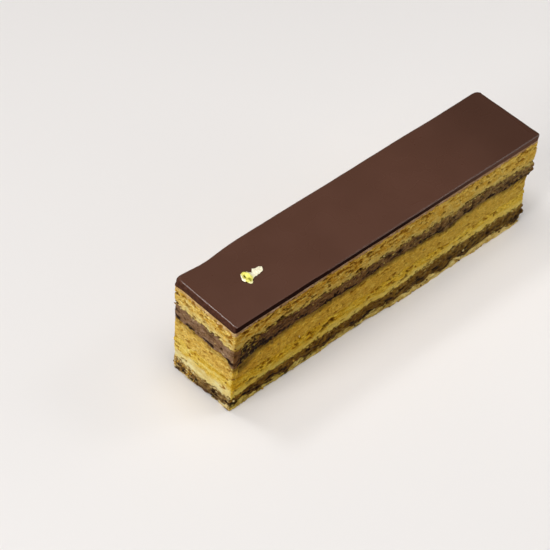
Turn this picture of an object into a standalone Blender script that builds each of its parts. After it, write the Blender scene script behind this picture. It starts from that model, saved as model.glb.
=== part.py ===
"""A finger of opera cake, built from its real layers: three thin almond sponges, two coffee
buttercreams and two chocolate ganaches under a poured chocolate glaze, with one flake of gold leaf.

Every layer is its own closed solid that runs through the whole finger, and neighbouring layers
keep a small gap. The finger is cut by hand, so its faces lean a little and its layers sag.

Units: every size here is in millimetres, and add_object turns them into Blender's metres. +Z is
up and the origin is the middle of the flat bottom. The near end is at -X, and the front long face
is at -Y.
"""

from typing import NamedTuple

import bpy
import numpy as np
from mathutils import Vector
from mathutils.geometry import delaunay_2d_cdt

METRES_PER_MM = 0.001

# Driving dimensions.
LENGTH = 103.2
WIDTH = 21.4
HEIGHT = 32.4
GAP = 0.3

NEAR, FAR = -LENGTH / 2, LENGTH / 2
FRONT, BACK = -1, 1


class Swell(NamedTuple):
    """A smooth local rise of a joint between two layers, or a dip where lift is negative."""

    lift: float
    at: float  # its middle along X
    reach: float  # its half width along X
    face: int = 0  # FRONT or BACK where only that face has it, and 0 right across
    depth: float = 1.0  # how far in from that face it goes


class Slope(NamedTuple):
    """A rise of a joint from one end of a stretch along X to the other."""

    lift: float
    start: float
    end: float


class Joint(NamedTuple):
    """The surface where one layer ends and the next begins."""

    level: float  # mean height
    ripple: float  # height of its waves
    seed: int
    swells: tuple = ()
    slope: Slope = Slope(0.0, NEAR, FAR)
    least: float = 0.0


# Where the lower ganache is squeezed down over the base: place along X, depth and half width.
# The back face has the same row, turned end for end.
SQUEEZED = (
    (-43.0, 1.8, 2.4),
    (-33.0, 1.9, 1.7),
    (-19.0, 1.7, 2.0),
    (-8.5, 2.2, 2.6),
    (3.0, 0.6, 2.0),
    (13.5, 1.4, 1.8),
    (21.5, 2.4, 1.8),
    (30.0, 1.6, 2.6),
    (47.5, 2.1, 3.0),
)
SQUEEZE_DEPTH = 2.6
SQUEEZED_SWELLS = tuple(
    Swell(-down, face * -at, reach, face, SQUEEZE_DEPTH)
    for at, down, reach in SQUEEZED
    for face in (FRONT, BACK)
)

# The joints from the bottom up. The near end is crushed down by the knife.
BASE_TOP = Joint(
    2.8,
    0.25,
    1,
    swells=(
        *SQUEEZED_SWELLS,
        Swell(-1.7, NEAR, 5.0),
        Swell(1.6, NEAR, 5.0, FRONT, 2.2),
        Swell(-1.0, FAR, 4.0),
    ),
    least=0.95,
)
GANACHE_LOWER_TOP = Joint(
    6.1,
    0.25,
    2,
    swells=(
        Swell(-1.7, NEAR, 5.5),
        Swell(-0.5, FAR, 9.0),
    ),
    slope=Slope(1.6, -12.0, 16.0),
)
SPONGE_MIDDLE_TOP = Joint(12.0, 0.3, 3)
BUTTERCREAM_LOWER_TOP = Joint(
    19.2,
    0.35,
    4,
    swells=(
        Swell(-0.4, NEAR, 4.0),
        Swell(-2.4, NEAR, 4.0, FRONT, 1.8),
        Swell(-1.1, 18.0, 4.0, FRONT, 4.0),
        Swell(-0.8, 43.0, 6.0),
        Swell(-0.6, FAR, 5.0),
    ),
)
GANACHE_UPPER_TOP = Joint(
    24.1,
    0.3,
    5,
    swells=(Swell(-0.7, NEAR, 4.0, FRONT, 5.0), Swell(-0.8, FAR, 6.0)),
    slope=Slope(-1.2, -27.0, -17.0),
)
SPONGE_TOP_TOP = Joint(29.7, 0.2, 6, swells=(Swell(-0.5, NEAR, 5.0),))
BUTTERCREAM_TOP_TOP = Joint(30.85, 0.0, 7, swells=(Swell(-0.2, NEAR, 2.5), Swell(-0.3, FAR, 16.0)))
RIPPLE_WAVES = (9.0, 15.0, 24.0)
RIPPLE_STRETCH = 1.3
RIPPLE_TURN = 0.9

# How the layers show at the cut faces.
LAYER_EDGE_SETBACK = 0.08
GLAZE_OVERHANG = 0.05
GLAZE_EDGE_RADIUS = 0.7
GLAZE_EDGE_STEPS = 3
CORNER_RADIUS = 0.6
GLAZE_NEAR_CORNER_RADIUS = 1.6
GLAZE_FAR_CORNER_RADIUS = 2.0

# The cut faces, as how far they leave the plain box. The finger narrows to its near end, its foot
# is pinched in, and its faces have slow waves that grow towards the foot.
FRONT_NARROWING = 0.55
FRONT_PINCH = 0.85
FRONT_PINCH_FADES = (-8.0, 10.0)
FRONT_WAVE, FRONT_WAVE_X, FRONT_WAVE_Z = 0.12, 5.3, 4.1
BACK_BOW, BACK_BOW_AT, BACK_BOW_REACH = 0.7, -43.5, 5.5
BACK_PINCH = 0.55
BACK_WAVE, BACK_WAVE_X, BACK_WAVE_Z = 0.15, 6.1, 3.7
BACK_WAVE_AT_TOP = 0.3
NEAR_SET_BACK, NEAR_SKEW = 0.25, 0.36
NEAR_CRUSH, NEAR_CRUSH_FRONT = 0.3, 0.8
NEAR_WAVE, NEAR_WAVE_Y, NEAR_WAVE_Z = 0.12, 2.3, 3.3
FAR_SKEW = 0.45
FAR_PINCH = 0.55
FAR_BULGE, FAR_BULGE_AT, FAR_BULGE_REACH = 0.55, 25.0, 3.0
FAR_HOLLOW, FAR_HOLLOW_AT, FAR_HOLLOW_REACH = 0.5, 14.0, 5.0
FAR_WAVE, FAR_WAVE_Y, FAR_WAVE_Z = 0.15, 2.1, 2.9

# Plan spacing of the mesh.
EDGE_STEP = 2.4
CORNER_STEPS = (0.35, 1.0, 2.2)
INNER_INSET = 2.0
INNER_STEP = 4.8
CORE_STEP = 8.0
CORE_Y = WIDTH / 6
PLAN_MERGE = 1e-6

# Gold leaf: the outline of the flake from its middle, anticlockwise, and how it lies.
LEAF_OUTLINE = (
    (5.2, 0.0), (4.7, 0.6), (3.6, 0.55), (2.8, 0.9), (2.2, 0.15), (1.5, 0.5), (1.35, 1.0),
    (0.4, 1.45), (-0.5, 1.2), (-1.05, 0.4), (-1.35, -0.5), (-1.2, -1.1), (-0.8, -1.4),
    (-0.4, -2.3), (0.1, -2.5), (0.5, -2.2), (0.7, -1.7), (1.8, -1.35), (3.5, -1.25), (4.6, -1.1),
)
LEAF_PLACE = (-38.8, 0.3)
LEAF_STEP = 0.6
LEAF_THICKNESS = 0.12
LEAF_LIFT = 0.2
LEAF_FOLD_HEIGHT = 0.45
LEAF_CURL_AT, LEAF_CURL_RADIUS, LEAF_CURL_REACH = (0.0, -0.1), 1.1, 0.55
LEAF_CREASE_SHARE, LEAF_CREASE_SPACING, LEAF_CREASE_SLANT = 0.55, 0.28, 0.35
LEAF_STRIP_STARTS = 1.0

SPONGE = (0.60, 0.36, 0.09)
BUTTERCREAM = (0.52, 0.31, 0.11)
GANACHE = (0.085, 0.045, 0.025)
GLAZE = (0.075, 0.032, 0.020)
GOLD = (0.95, 0.86, 0.25)
SHARP_ANGLE = np.radians(40.0)


def smooth_step(t):
    """0 before t = 0, 1 after t = 1, and smooth between."""
    t = np.clip(t, 0.0, 1.0)
    return t * t * (3.0 - 2.0 * t)


def hump(x, middle, half_width):
    """A smooth bump that is 1 at its middle."""
    return np.exp(-(((x - middle) / half_width) ** 2))


def ripple(x, y, height, seed):
    """The gentle unevenness of a spread layer, as three crossed waves."""
    draw = np.random.default_rng(seed)
    total = 0.0
    for shortest in RIPPLE_WAVES:
        wavelength = shortest * draw.uniform(1.0, RIPPLE_STRETCH)
        turn = draw.uniform(-RIPPLE_TURN, RIPPLE_TURN)
        phase = draw.uniform(0.0, 2.0 * np.pi)
        along = x * np.cos(turn) + y * np.sin(turn)
        total = total + np.sin(2.0 * np.pi * along / wavelength + phase)
    return height * total / 2.0


def joint_height(joint, x, y):
    """The height of a joint over plan points x, y."""
    height = joint.level + ripple(x, y, joint.ripple, joint.seed)
    start, end = joint.slope.start, joint.slope.end
    height = height + joint.slope.lift * smooth_step((x - start) / (end - start))
    for swell in joint.swells:
        strength = hump(x, swell.at, swell.reach)
        if swell.face:
            strength = strength * hump(y, swell.face * WIDTH / 2, swell.depth)
        height = height + swell.lift * strength
    return np.maximum(height, joint.least)


def depth_below_top(z):
    """0 at the top of the finger and 1 at its foot."""
    return 1.0 - z / HEIGHT


# Each face function gives how far that face stands out from the plain box, at a place along the
# face and a height.


def front_out(x, z):
    depth = depth_below_top(z)
    start, end = FRONT_PINCH_FADES
    pinched = FRONT_PINCH * (1.0 - smooth_step((x - start) / (end - start)))
    wave = FRONT_WAVE * np.sin(x / FRONT_WAVE_X + z / FRONT_WAVE_Z)
    return -FRONT_NARROWING * (0.5 - x / LENGTH) + (wave - pinched) * depth


def back_out(x, z):
    depth = depth_below_top(z)
    bowed = BACK_BOW * hump(x, BACK_BOW_AT, BACK_BOW_REACH)
    wave = BACK_WAVE * np.sin(x / BACK_WAVE_X - z / BACK_WAVE_Z + 1.0)
    return -bowed - BACK_PINCH * depth + wave * (BACK_WAVE_AT_TOP + depth)


def near_out(y, z):
    depth = depth_below_top(z)
    skewed = NEAR_SKEW * 2.0 * y / WIDTH - NEAR_SET_BACK
    crushed = NEAR_CRUSH + NEAR_CRUSH_FRONT * (0.5 - y / WIDTH)
    wave = NEAR_WAVE * np.sin(y / NEAR_WAVE_Y + z / NEAR_WAVE_Z)
    return skewed + (wave - crushed) * depth


def far_out(y, z):
    depth = depth_below_top(z)
    skewed = -FAR_SKEW * 2.0 * y / WIDTH
    bulge = FAR_BULGE * hump(z, FAR_BULGE_AT, FAR_BULGE_REACH)
    hollow = FAR_HOLLOW * hump(z, FAR_HOLLOW_AT, FAR_HOLLOW_REACH)
    wave = FAR_WAVE * np.sin(y / FAR_WAVE_Y - z / FAR_WAVE_Z)
    return skewed + bulge - hollow + (wave - FAR_PINCH) * depth


def placed(a, b, z, inset):
    """The point of a cut layer that a plan point a, b of the plain box becomes at height z."""
    left = -LENGTH / 2 - near_out(b, z) + inset
    right = LENGTH / 2 + far_out(b, z) - inset
    low = -WIDTH / 2 - front_out(a, z) + inset
    high = WIDTH / 2 + back_out(a, z) - inset
    x = left + (right - left) * (a / LENGTH + 0.5)
    y = low + (high - low) * (b / WIDTH + 0.5)
    return np.stack([x, y, z], axis=1)


def side_stations(span):
    """Places along one side of the plan, closer together near its two corners."""
    reach = span / 2 - CORNER_STEPS[-1]
    cells = max(2, round(2.0 * reach / EDGE_STEP))
    middle = np.linspace(-reach, reach, cells + 1)
    ends = [span / 2 - step for step in (*CORNER_STEPS[:-1][::-1], 0.0)]
    return np.concatenate([[-e for e in ends[::-1]], middle, ends])


def plan_layout():
    """The plan of the plain box as triangles: the rim points in order, the inner points, and faces."""
    across, along = side_stations(WIDTH), side_stations(LENGTH)
    rim = [(x, -WIDTH / 2) for x in along[:-1]]
    rim += [(LENGTH / 2, y) for y in across[:-1]]
    rim += [(x, WIDTH / 2) for x in along[:0:-1]]
    rim += [(-LENGTH / 2, y) for y in across[:0:-1]]
    half_x, half_y = LENGTH / 2 - INNER_INSET, WIDTH / 2 - INNER_INSET
    ring_x = np.linspace(-half_x, half_x, round(2 * half_x / INNER_STEP) + 1)
    ring_y = np.linspace(-half_y, half_y, round(2 * half_y / INNER_STEP) + 1)
    inner = [(x, side) for x in ring_x for side in (-half_y, half_y)]
    inner += [(side, y) for y in ring_y[1:-1] for side in (-half_x, half_x)]
    core_x = half_x - INNER_STEP
    core = np.linspace(-core_x, core_x, round(2 * core_x / CORE_STEP) + 1)
    inner += [(x, y) for x in core for y in (-CORE_Y, CORE_Y)]
    points = [Vector(p) for p in rim + inner]
    edges = [(i, (i + 1) % len(rim)) for i in range(len(rim))]
    _, _, faces, origin, _, _ = delaunay_2d_cdt(points, edges, [], 1, PLAN_MERGE)
    faces = [[origin[i][0] for i in face] for face in faces]
    return np.array(rim), np.array(inner), faces


RIM, INNER, PLAN_FACES = plan_layout()


def rounded_rim(radii):
    """The rim with each corner turned on its own radius. radii maps the signs of x, y to a radius."""
    rim = RIM.copy()
    for (sx, sy), radius in radii.items():
        from_x = LENGTH / 2 - sx * RIM[:, 0]
        from_y = WIDTH / 2 - sy * RIM[:, 1]
        close = (from_x < radius) & (from_y < radius)
        along = np.maximum(from_x, from_y)[close]
        turn = np.pi / 4 * (1.0 - along / radius)
        near_side = radius * (1.0 - np.cos(turn))
        far_side = radius * (1.0 - np.sin(turn))
        on_y_side = (from_x >= from_y)[close]
        rim[close, 0] = sx * (LENGTH / 2 - np.where(on_y_side, far_side, near_side))
        rim[close, 1] = sy * (WIDTH / 2 - np.where(on_y_side, near_side, far_side))
    return rim


def material(name, colour, roughness, metallic=0.0):
    made = bpy.data.materials.new(name)
    made.use_nodes = True
    shader = made.node_tree.nodes["Principled BSDF"]
    shader.inputs["Base Color"].default_value = (*colour, 1.0)
    shader.inputs["Roughness"].default_value = roughness
    shader.inputs["Metallic"].default_value = metallic
    made.diffuse_color = (*colour, 1.0)
    return made


def add_object(name, points, faces, finish):
    mesh = bpy.data.meshes.new(name)
    mesh.from_pydata([tuple(p) for p in np.asarray(points) * METRES_PER_MM], [], faces)
    mesh.materials.append(finish)
    mesh.validate()
    mesh.update()
    mesh.shade_smooth()
    mesh.set_sharp_from_angle(angle=SHARP_ANGLE)
    obj = bpy.data.objects.new(name, mesh)
    bpy.context.scene.collection.objects.link(obj)
    return obj


def stacked_solid(name, rings, floor_inner, roof_inner, finish):
    """A closed solid from rings of rim points, bottom to top, and the inner points of its two caps."""
    count = len(RIM)
    points = [p for ring in rings for p in ring]
    floor_start = len(points)
    points += list(floor_inner)
    roof_start = len(points)
    points += list(roof_inner)
    top_ring = (len(rings) - 1) * count
    faces = []
    for face in PLAN_FACES:
        floor = [i if i < count else floor_start + i - count for i in face]
        roof = [i + top_ring if i < count else roof_start + i - count for i in face]
        faces += [floor[::-1], roof]
    for k in range(len(rings) - 1):
        for i in range(count):
            j = (i + 1) % count
            faces.append([k * count + i, k * count + j, (k + 1) * count + j, (k + 1) * count + i])
    return add_object(name, points, faces, finish)


def cake_layer(name, floor, roof, proud, finish):
    """One layer from floor to roof. Its cut face stands proud in the middle of its thickness."""
    rim = rounded_rim({(sx, sy): CORNER_RADIUS for sx in (-1, 1) for sy in (-1, 1)})
    inset = GLAZE_OVERHANG - proud
    rings = []
    for share, setback in ((0.0, LAYER_EDGE_SETBACK), (0.5, 0.0), (1.0, LAYER_EDGE_SETBACK)):
        z = floor(*RIM.T) + (roof(*RIM.T) - floor(*RIM.T)) * share
        rings.append(placed(*rim.T, z, inset + setback))
    caps = [placed(*INNER.T, level(*INNER.T), inset) for level in (floor, roof)]
    return stacked_solid(name, rings, *caps, finish)


def raised(joint, lift):
    """A joint's surface moved up or down."""
    return lambda x, y: joint_height(joint, x, y) + lift


def flat_bottom(x, y):
    return np.zeros_like(x)


def cake_layers():
    """The layers from the bottom up: name, joint above, how far the cut face stands out, finish."""
    sponge = material("sponge", SPONGE, 0.95)
    buttercream = material("buttercream", BUTTERCREAM, 0.6)
    ganache = material("ganache", GANACHE, 0.55)
    layers = (
        ("sponge_base", BASE_TOP, 0.0, sponge),
        ("ganache_lower", GANACHE_LOWER_TOP, 0.2, ganache),
        ("sponge_middle", SPONGE_MIDDLE_TOP, 0.05, sponge),
        ("buttercream_lower", BUTTERCREAM_LOWER_TOP, 0.0, buttercream),
        ("ganache_upper", GANACHE_UPPER_TOP, 0.1, ganache),
        ("sponge_top", SPONGE_TOP_TOP, 0.05, sponge),
        ("buttercream_top", BUTTERCREAM_TOP_TOP, 0.0, buttercream),
    )
    floor = flat_bottom
    for name, top, proud, finish in layers:
        cake_layer(name, floor, raised(top, -GAP / 2), proud, finish)
        floor = raised(top, GAP / 2)


def glaze():
    """The poured glaze: crisp, flat on top, rounded at its edge and a little proud of the cake."""
    radii = {
        (-1, -1): CORNER_RADIUS,
        (1, -1): CORNER_RADIUS,
        (-1, 1): GLAZE_NEAR_CORNER_RADIUS,
        (1, 1): GLAZE_FAR_CORNER_RADIUS,
    }
    rim = rounded_rim(radii)
    underside = raised(BUTTERCREAM_TOP_TOP, GAP / 2)
    shoulder = np.full(len(RIM), HEIGHT - GLAZE_EDGE_RADIUS)
    rings = [placed(*rim.T, underside(*RIM.T), LAYER_EDGE_SETBACK), placed(*rim.T, shoulder, 0.0)]
    for turn in np.linspace(0.0, np.pi / 2, GLAZE_EDGE_STEPS + 1)[1:]:
        z = HEIGHT - GLAZE_EDGE_RADIUS * (1.0 - np.sin(turn))
        inset = GLAZE_EDGE_RADIUS * (1.0 - np.cos(turn))
        rings.append(placed(*rim.T, np.full(len(RIM), z), inset))
    floor_inner = placed(*INNER.T, underside(*INNER.T), 0.0)
    roof_inner = placed(*INNER.T, np.full(len(INNER), HEIGHT), GLAZE_EDGE_RADIUS)
    stacked_solid("glaze", rings, floor_inner, roof_inner, material("glaze", GLAZE, 0.3))


def gold_leaf():
    """One torn and folded flake: a curled head, a narrow strip towards the far end and a short tail."""
    corners = np.array(LEAF_OUTLINE)
    outline = np.concatenate([[c, (c + d) / 2] for c, d in zip(corners, np.roll(corners, -1, 0))])
    (left, low), (right, high) = corners.min(axis=0), corners.max(axis=0)
    columns, rows = np.arange(left, right, LEAF_STEP), np.arange(low, high, LEAF_STEP)
    grid = [(x, y) for x in columns for y in rows]
    count = len(outline)
    points = [Vector(p) for p in outline] + [Vector(p) for p in grid]
    edges = [(i, (i + 1) % count) for i in range(count)]
    flat, _, triangles, _, _, _ = delaunay_2d_cdt(points, edges, [], 1, PLAN_MERGE)
    flat = np.array([tuple(p) for p in flat])
    x, y = flat.T
    from_curl = np.hypot(x - LEAF_CURL_AT[0], y - LEAF_CURL_AT[1])
    curl = hump(from_curl, LEAF_CURL_RADIUS, LEAF_CURL_REACH)
    crease = 0.5 + 0.5 * np.sin((y + LEAF_CREASE_SLANT * x) / LEAF_CREASE_SPACING)
    creased = LEAF_CREASE_SHARE * crease * smooth_step(x - LEAF_STRIP_STARTS)
    fold = LEAF_FOLD_HEIGHT * np.maximum(curl, creased)
    low = np.column_stack([flat + LEAF_PLACE, HEIGHT + LEAF_LIFT + fold])
    high = low + (0.0, 0.0, LEAF_THICKNESS)
    used = {i for face in triangles for i in face}
    order = {old: new for new, old in enumerate(sorted(used))}
    low, high = low[sorted(used)], high[sorted(used)]
    triangles = [[order[i] for i in face] for face in triangles]
    number = len(low)
    sides = {(a, b) for face in triangles for a, b in zip(face, face[1:] + face[:1])}
    faces = [face[::-1] for face in triangles] + [[i + number for i in face] for face in triangles]
    faces += [[a, b, b + number, a + number] for a, b in sorted(sides) if (b, a) not in sides]
    add_object("gold_leaf", np.concatenate([low, high]), faces, material("gold", GOLD, 0.35, 0.6))


def centre_cake():
    """Moves every mesh so that the middle of the cake's box is over the origin."""
    cake = [o for o in bpy.context.scene.objects if o.type == "MESH"]
    points = np.array([v.co for o in cake for v in o.data.vertices])
    middle = (points.min(axis=0) + points.max(axis=0)) / 2
    for obj in cake:
        for vertex in obj.data.vertices:
            vertex.co.x -= middle[0]
            vertex.co.y -= middle[1]


def main():
    for obj in list(bpy.data.objects):
        bpy.data.objects.remove(obj, do_unlink=True)
    cake_layers()
    glaze()
    gold_leaf()
    centre_cake()


main()
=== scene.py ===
"""The looks of a finger of opera cake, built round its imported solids.

The frame's solids give the outline of every layer and the joints between layers. This script
rebuilds each layer as a fine closed mesh whose cut side has its real crumb, pores, smears and knife
marks, and gives it a procedural material.

Lengths are in millimetres until a mesh or an object is made. +Z is up, the near end is at -X and
the front long face is at -Y.
"""

import bmesh
import bpy
import numpy as np
from mathutils import Matrix, Vector
from mathutils.bvhtree import BVHTree
from mathutils.geometry import delaunay_2d_cdt


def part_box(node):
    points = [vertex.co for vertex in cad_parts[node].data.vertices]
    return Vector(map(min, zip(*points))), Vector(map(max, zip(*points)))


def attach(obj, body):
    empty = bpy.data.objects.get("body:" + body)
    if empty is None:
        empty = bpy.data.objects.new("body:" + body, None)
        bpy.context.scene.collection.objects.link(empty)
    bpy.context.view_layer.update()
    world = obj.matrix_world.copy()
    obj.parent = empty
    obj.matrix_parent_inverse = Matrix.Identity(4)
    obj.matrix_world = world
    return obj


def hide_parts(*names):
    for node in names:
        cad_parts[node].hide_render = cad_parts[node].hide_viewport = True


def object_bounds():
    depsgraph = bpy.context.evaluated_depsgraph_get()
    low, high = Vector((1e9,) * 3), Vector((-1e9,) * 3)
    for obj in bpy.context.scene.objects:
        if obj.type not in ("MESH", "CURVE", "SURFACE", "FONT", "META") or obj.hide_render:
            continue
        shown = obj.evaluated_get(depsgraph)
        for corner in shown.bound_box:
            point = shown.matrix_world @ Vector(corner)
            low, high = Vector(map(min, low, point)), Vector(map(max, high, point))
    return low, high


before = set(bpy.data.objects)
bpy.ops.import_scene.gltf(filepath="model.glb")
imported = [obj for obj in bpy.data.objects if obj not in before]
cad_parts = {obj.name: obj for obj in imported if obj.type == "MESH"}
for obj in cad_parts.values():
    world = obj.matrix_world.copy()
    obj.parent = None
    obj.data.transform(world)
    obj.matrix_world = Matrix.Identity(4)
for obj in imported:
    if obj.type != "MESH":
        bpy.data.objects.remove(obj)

CAD_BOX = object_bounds()
METRES_PER_MM = 0.001

# The frame's layers from the bottom up.
LAYERS = (
    "sponge_base",
    "ganache_lower",
    "sponge_middle",
    "buttercream_lower",
    "ganache_upper",
    "sponge_top",
    "buttercream_top",
    "glaze",
)
SPONGE_BASE, GANACHE_LOWER, SPONGE_MIDDLE, BUTTERCREAM_LOWER = range(4)
GANACHE_UPPER, SPONGE_TOP, BUTTERCREAM_TOP, GLAZE = range(4, 8)

HALF_X, HALF_Y = [side / METRES_PER_MM for side in CAD_BOX[1][:2]]
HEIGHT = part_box("glaze")[1].z / METRES_PER_MM

# The cut side is a grid: stations round the finger and rows up each layer, about a step apart. The
# stations are set out on a plan with round corners, then moved out or in to the frame's side.
STEP = 0.2
PLAN_CORNER = 3.2


# ---- numbers


def smooth_step(t):
    """0 before t = 0, 1 after t = 1, and smooth between."""
    t = np.clip(t, 0.0, 1.0)
    return t * t * (3.0 - 2.0 * t)


def hump(x, middle, half_width):
    """A smooth bump that is 1 at its middle."""
    return np.exp(-(((x - middle) / half_width) ** 2))


class Noise:
    """Seeded gradient noise over points in space, about -1 to 1."""

    def __init__(self, seed):
        draw = np.random.default_rng(seed)
        self.order = np.tile(draw.permutation(256), 2)
        slopes = draw.normal(size=(256, 3))
        self.slopes = slopes / np.linalg.norm(slopes, axis=1, keepdims=True)

    def __call__(self, points, size):
        """size is the width of one lump in millimetres: a number, or one for each axis."""
        scaled = points / np.asarray(size, float)
        cell = np.floor(scaled).astype(np.int64)
        inside = scaled - cell
        cell &= 255
        fade = inside**3 * (inside * (inside * 6.0 - 15.0) + 10.0)
        total = 0.0
        for corner in np.ndindex(2, 2, 2):
            slot = self.order[(cell[..., 0] + corner[0]) & 255] + cell[..., 1] + corner[1]
            slot = self.order[slot & 255] + cell[..., 2] + corner[2]
            slope = self.slopes[self.order[slot & 255]]
            weight = np.prod(np.where(corner, fade, 1.0 - fade), axis=-1)
            total = total + weight * np.sum((inside - corner) * slope, axis=-1)
        return 1.6 * total

    def layered(self, points, size, octaves=3, fall=0.5):
        """Lumps on lumps: each octave is half as wide as the last, and fall times as strong."""
        total, strength = 0.0, 1.0
        for octave in range(octaves):
            shifted = points + 17.3 * octave
            total = total + strength * self(shifted, np.asarray(size) / 2.0**octave)
            strength *= fall
        return total


# ---- the frame's shape


def plan_outline():
    """Points and outward directions round the finger, anticlockwise from the near front corner."""
    quarter = np.pi / 2
    inner = np.array([HALF_X - PLAN_CORNER, HALF_Y - PLAN_CORNER])
    ends = inner * ((1, -1), (1, 1), (-1, 1), (-1, -1))
    along_corner = round(quarter * PLAN_CORNER / STEP)
    middles, turns = [], []
    for side, end in enumerate(ends):
        start, turn = ends[side - 1], quarter * (side - 1)
        along_side = round(np.linalg.norm(end - start) / STEP)
        middles += [start + (end - start) * k / along_side for k in range(along_side)]
        turns += [turn] * along_side
        middles += [end] * along_corner
        turns += [turn + quarter * k / along_corner for k in range(along_corner)]
    outward = np.array([(np.cos(turn), np.sin(turn)) for turn in turns])
    return np.array(middles) + PLAN_CORNER * outward, outward


RIM, OUTWARD = plan_outline()
STATIONS = len(RIM)
# 1 on the ends and 0 on the long faces, with a soft change at the corners, and its opposite.
CORNER_SOFTNESS = 0.12
FACES_END = smooth_step(0.5 + (np.abs(OUTWARD[:, 0]) - np.sqrt(0.5)) / CORNER_SOFTNESS)
FACES_LONG = 1.0 - FACES_END
AT_NEAR_END = FACES_END * (OUTWARD[:, 0] < 0.0)
# From 0 by the near end to 1 by the far end, towards which the cut is smoother and paler.
FAR_HALF_START, FAR_HALF_LENGTH = -40.0, 85.0
FAR_HALF = smooth_step((RIM[:, 0] - FAR_HALF_START) / FAR_HALF_LENGTH)
FAR_LONG = FAR_HALF * FACES_LONG


def tree_of(name):
    """A layer's solid, ready to be measured with rays."""
    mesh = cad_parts[name].data
    corners = [v.co / METRES_PER_MM for v in mesh.vertices]
    return BVHTree.FromPolygons(corners, [tuple(p.vertices) for p in mesh.polygons])


TREES = [tree_of(name) for name in LAYERS]
FAR_AWAY = 60.0
# A layer's floor and roof are read a little in from its side, which is first found well inside.
WELL_INSIDE, JUST_INSIDE = 2.6, 0.35
# The side is read at these shares of a layer's height; the glaze's, below its rounded edge.
SIDE_SHARES = (0.15, 0.5, 0.85)
GLAZE_SIDE_SHARES = (0.15, 0.3)


def layer_levels(tree, places):
    """The heights of a layer's underside and top over plan points."""
    levels = []
    for way in (Vector((0.0, 0.0, 1.0)), Vector((0.0, 0.0, -1.0))):
        starts = [Vector((*place, 0.0)) - FAR_AWAY * way for place in places]
        levels.append([tree.ray_cast(start, way)[0].z for start in starts])
    return np.array(levels)


def joint_levels(layers):
    """The floor, the middle of each gap between layers, and the top, from each layer's levels."""
    floors, roofs = np.array(layers).transpose(1, 0, 2)
    return np.vstack([floors[:1], (roofs[:-1] + floors[1:]) / 2, roofs[-1:]])


def side_offsets(tree, heights):
    """How far out of the plan outline a layer's side is at one height for each station."""
    out = []
    for point, direction, height in zip(RIM, OUTWARD, heights):
        start = Vector((*(point + direction * FAR_AWAY / 2), height))
        hit = tree.ray_cast(start, Vector((*-direction, 0.0)))[0]
        out.append((hit.x - point[0]) * direction[0] + (hit.y - point[1]) * direction[1])
    return np.array(out)


def smoothed_round(values, reach):
    """A running mean round the finger, over reach stations either side."""
    total = sum(np.roll(values, k, axis=-1) for k in range(-reach, reach + 1))
    return total / (2 * reach + 1)


def read_cut_side():
    """The joints at the cut side, and heights and offsets of the side, for every station."""
    layers, heights, offsets = [], [], []
    for index, tree in enumerate(TREES):
        shares = GLAZE_SIDE_SHARES if index == GLAZE else SIDE_SHARES
        floor, roof = layer_levels(tree, RIM - OUTWARD * WELL_INSIDE)
        offset = side_offsets(tree, floor + shares[1] * (roof - floor))
        floor, roof = layer_levels(tree, RIM + OUTWARD * (offset - JUST_INSIDE)[:, None])
        layers.append((floor, roof))
        for share in shares:
            heights.append(floor + share * (roof - floor))
            offsets.append(smoothed_round(side_offsets(tree, heights[-1]), 2))
    return smoothed_round(joint_levels(layers), 3), np.array(heights), np.array(offsets)


LEVELS, SIDE_HEIGHTS, SIDE_OFFSETS = read_cut_side()


def side_offset(z):
    """The side's offset for a grid of heights, one column to each station."""
    columns = range(STATIONS)
    found = [np.interp(z[:, s], SIDE_HEIGHTS[:, s], SIDE_OFFSETS[:, s]) for s in columns]
    return np.array(found).T


# ---- plan of the caps

# The caps have a ring of points inside the rim, one for every few stations, and a coarse core.
RING_INSET, RING_EVERY = 2.7, 4
CORE_INSET, CORE_STEP = 5.0, 4.0


def ring(first, count):
    """The edges of a closed loop of points."""
    return [(first + i, first + (i + 1) % count) for i in range(count)]


def cap_layout():
    """Faces that fill the plan outline, and the plan points inside it."""
    inside_rim = (RIM - OUTWARD * RING_INSET)[::RING_EVERY]
    spans = (HALF_X - CORE_INSET, HALF_Y - CORE_INSET)
    columns, rows = [np.linspace(-span, span, round(2 * span / CORE_STEP) + 1) for span in spans]
    core = np.array([(x, y) for x in columns for y in rows])
    inner = np.vstack([inside_rim, core])
    points = [Vector(p) for p in np.vstack([RIM, inner])]
    _, _, faces, origin, _, _ = delaunay_2d_cdt(points, ring(0, STATIONS), [], 1, 1e-6)
    return inner, np.array([[origin[i][0] for i in face] for face in faces])


CAP_INNER, CAP_FACES = cap_layout()
CAP_LEVELS = joint_levels([layer_levels(tree, CAP_INNER) for tree in TREES])


# ---- meshes


def make_piece(name, points, faces, finish, node, masks):
    """A smooth mesh piece in metres that rides on the cake and stands for a node of the frame."""
    mesh = bpy.data.meshes.new(name)
    mesh.from_pydata(points * METRES_PER_MM, [], faces)
    for label, values in masks.items():
        made = mesh.attributes.new(label, "FLOAT", "POINT")
        made.data.foreach_set("value", values.astype(np.float32))
    mesh.materials.append(finish)
    mesh.validate()
    mesh.shade_smooth()
    piece = bpy.data.objects.new(name, mesh)
    bpy.context.scene.collection.objects.link(piece)
    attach(piece, "root")
    if node:
        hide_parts(node)
    return piece


def capped_faces(rows):
    """The side's quads with a floor and a roof, whose inner points follow the grid's."""
    to_last_row = (rows - 1) * STATIONS
    here = np.arange(to_last_row)
    beside = here + np.where((here + 1) % STATIONS, 1, 1 - STATIONS)
    side = np.column_stack([here, beside, beside + STATIONS, here + STATIONS])
    inner = CAP_FACES >= STATIONS
    floor = CAP_FACES + to_last_row * inner
    roof = CAP_FACES + to_last_row + len(CAP_INNER) * inner
    return [*side, *floor[:, ::-1], *roof]


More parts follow.
